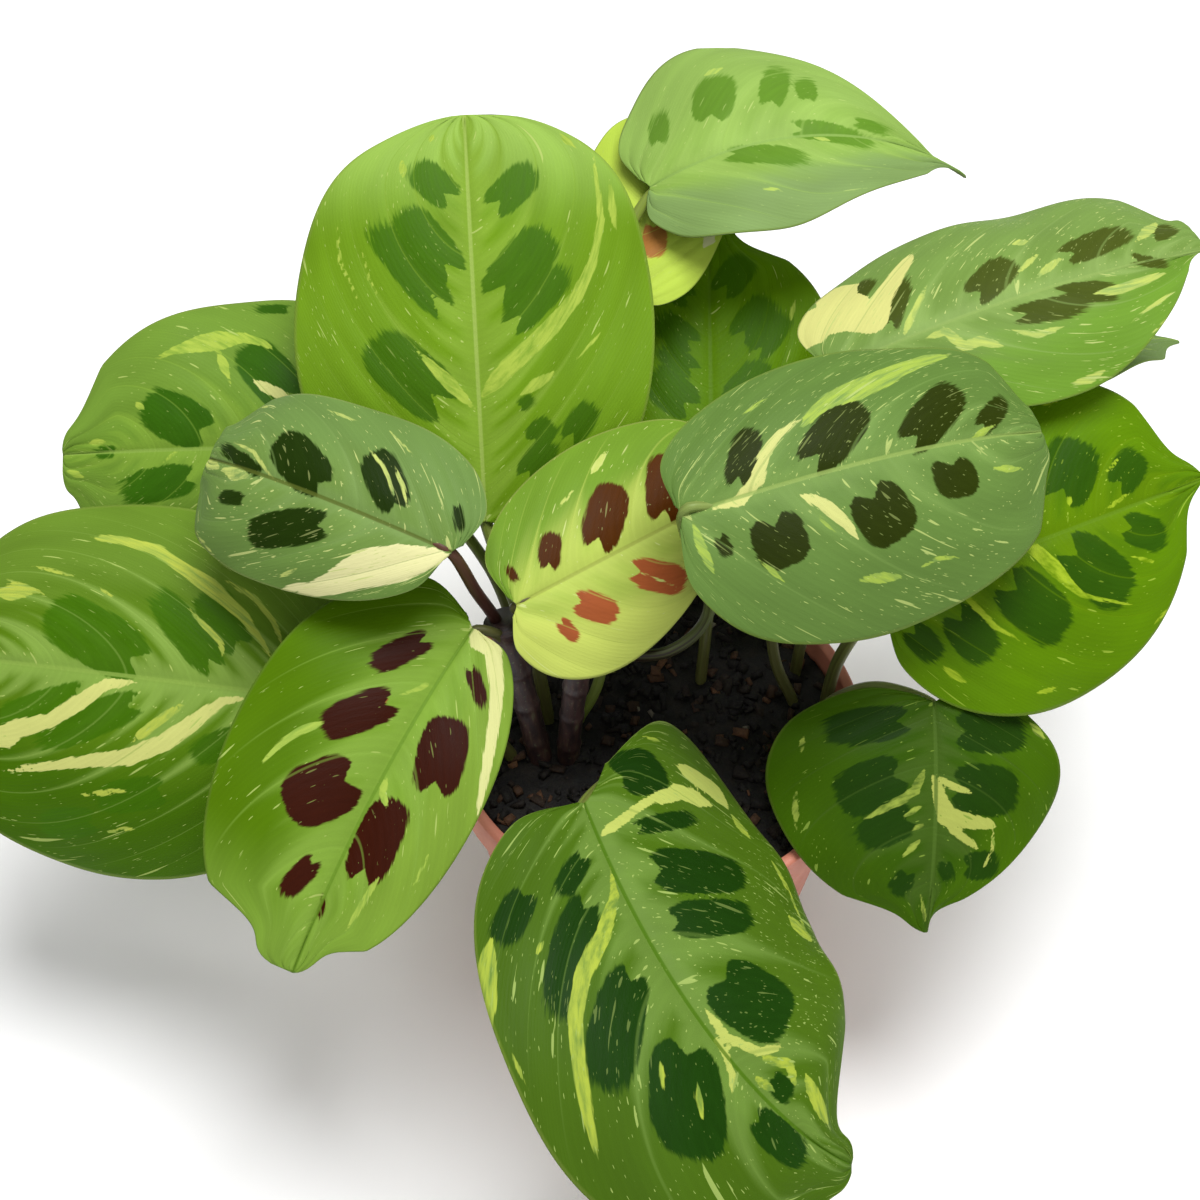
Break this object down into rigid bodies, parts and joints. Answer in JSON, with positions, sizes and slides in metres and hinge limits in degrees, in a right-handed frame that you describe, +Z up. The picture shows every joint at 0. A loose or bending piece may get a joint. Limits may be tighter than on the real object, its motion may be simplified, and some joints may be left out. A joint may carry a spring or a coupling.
{
  "type": "potted prayer plant",
  "caption": "Leafy houseplant with broad blotched leaves on thin petioles, standing in soil in a round plastic nursery pot.",
  "frame": {"origin": "centre of the pot's base, on the surface that it stands on", "axes": "+Z up along the pot's axis; front, the side that the picture was taken from, is -Y; +X to the right in the picture"},
  "size_m": [0.3775, 0.3378, 0.2212],
  "materials": {
    "pot": "matte salmon-pink plastic",
    "soil": "moist dark potting mix with bark bits",
    "cane": "smooth purple-brown stem",
    "leaf_green": "satin green leaf",
    "leaf_deep": "satin deep green leaf",
    "leaf_sage": "satin sage green leaf",
    "leaf_lime": "satin lime green leaf"
  },
  "bodies": {
    "root": {"pot": "pot", "soil": "soil", "cane_1": "cane", "cane_2": "cane", "leaf_a": "leaf_green", "leaf_b": "leaf_green", "leaf_c": "leaf_sage", "leaf_d": "leaf_green", "leaf_e": "leaf_green", "leaf_f": "leaf_deep", "leaf_g": "leaf_deep", "leaf_h": "leaf_green", "leaf_i": "leaf_sage", "leaf_j": "leaf_lime", "leaf_k": "leaf_green", "leaf_l": "leaf_lime", "leaf_m": "leaf_deep", "leaf_n": "leaf_sage", "leaf_o": "leaf_sage"}
  },
  "joints": []
}
